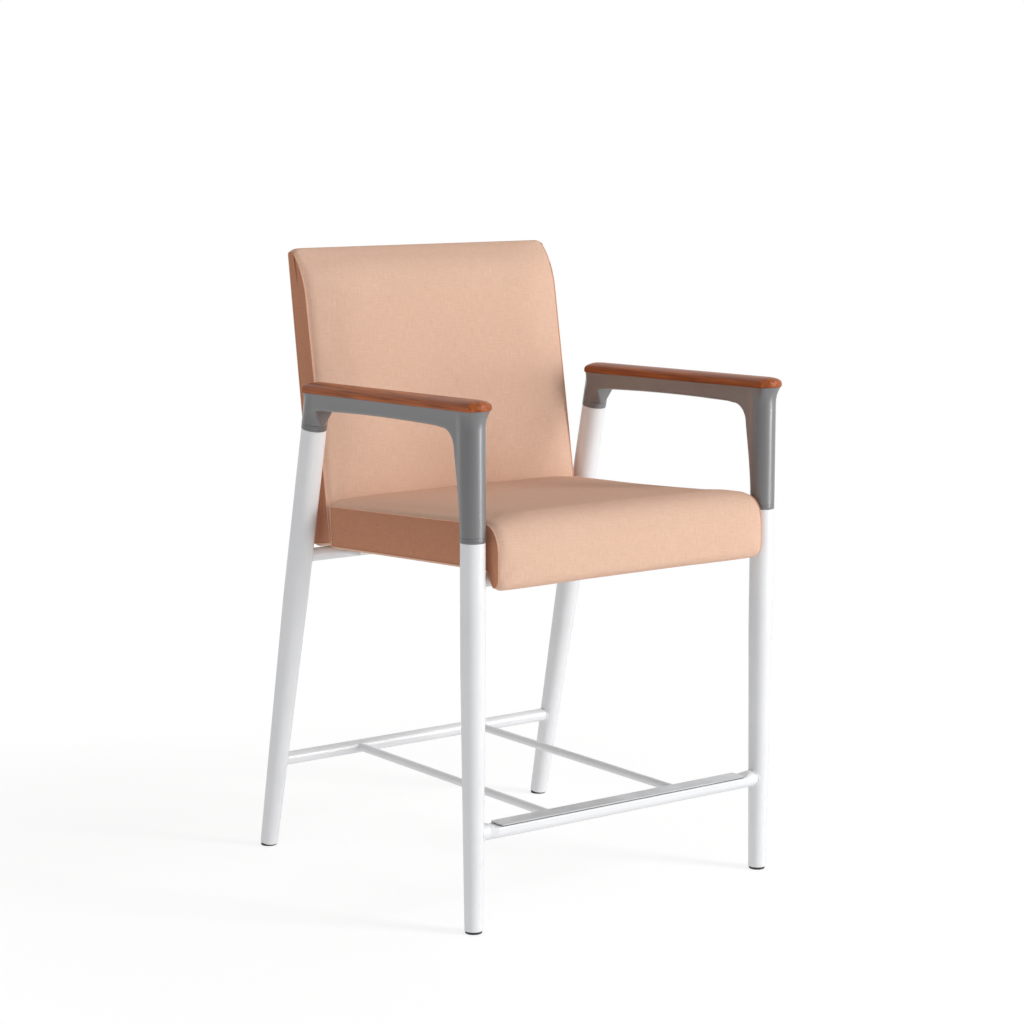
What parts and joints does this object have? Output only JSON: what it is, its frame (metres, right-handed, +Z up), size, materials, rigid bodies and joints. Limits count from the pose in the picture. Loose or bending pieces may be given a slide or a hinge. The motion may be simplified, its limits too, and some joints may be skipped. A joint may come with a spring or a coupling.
{
  "type": "patient chair",
  "caption": "Hip-height patient chair with a white tube frame, cast arms under wooden caps, peach upholstered seat and back, and a low footrest bar with a steel tread.",
  "frame": {"origin": "centre of the bounding box on the floor, under the glides", "axes": "+Z up, the front of the chair faces -Y, +X to the right of a front view"},
  "size_m": [0.6134, 0.6416, 1.0019],
  "materials": {
    "paint": "satin white powder coat on steel tube",
    "casting": "satin mid grey coat on cast aluminium",
    "cap_wood": "satin lacquered cherry",
    "screw_steel": "zinc plated",
    "tread_steel": "brushed lengthwise",
    "tape": "black bonding tape",
    "plywood": "raw plywood",
    "foam": "upholstery foam",
    "upholstery": "matt peach weave",
    "dust_cloth": "black spunbond",
    "insert_plastic": "black nylon",
    "glide_plastic": "dark grey nylon"
  },
  "bodies": {
    "frame": {"front_leg_left": "paint", "front_leg_right": "paint", "rear_leg_left": "paint", "rear_leg_right": "paint", "arm_casting_left": "casting", "arm_casting_right": "casting", "arm_cap_left": "cap_wood", "arm_cap_right": "cap_wood", "arm_cap_screws": "screw_steel", "arm_lock_screws": "screw_steel", "front_seat_rail": "paint", "rear_seat_rail": "paint", "seat_brackets": "paint", "rear_stretcher": "paint", "stretcher_rod_left": "paint", "stretcher_rod_right": "paint", "footrest_bar": "paint", "footrest_tape": "tape", "footrest_tread": "tread_steel", "seat_board": "plywood", "seat_foam": "foam", "seat_cover": "upholstery", "seat_dust_cover": "dust_cloth", "seat_bolts": "screw_steel", "seat_tee_nuts": "screw_steel", "back_uprights": "paint", "back_board": "plywood", "back_foam": "foam", "back_cover": "upholstery", "back_bolts": "screw_steel", "back_tee_nuts": "screw_steel", "glide_inserts": "insert_plastic"},
    "glide_front_left": {"glide_stem_front_left": "screw_steel", "glide_pad_front_left": "glide_plastic"},
    "glide_front_right": {"glide_stem_front_right": "screw_steel", "glide_pad_front_right": "glide_plastic"},
    "glide_rear_left": {"glide_stem_rear_left": "screw_steel", "glide_pad_rear_left": "glide_plastic"},
    "glide_rear_right": {"glide_stem_rear_right": "screw_steel", "glide_pad_rear_right": "glide_plastic"}
  },
  "joints": [
    {"name": "level_front_left", "type": "slide", "parent": "frame", "child": "glide_front_left", "axis": [0, 0, -1], "range_m": [0, 0.01]},
    {"name": "level_front_right", "type": "slide", "parent": "frame", "child": "glide_front_right", "axis": [0, 0, -1], "range_m": [0, 0.01]},
    {"name": "level_rear_left", "type": "slide", "parent": "frame", "child": "glide_rear_left", "axis": [0, 0.2147, -0.9767], "range_m": [0, 0.01]},
    {"name": "level_rear_right", "type": "slide", "parent": "frame", "child": "glide_rear_right", "axis": [0, 0.2147, -0.9767], "range_m": [0, 0.01]}
  ]
}
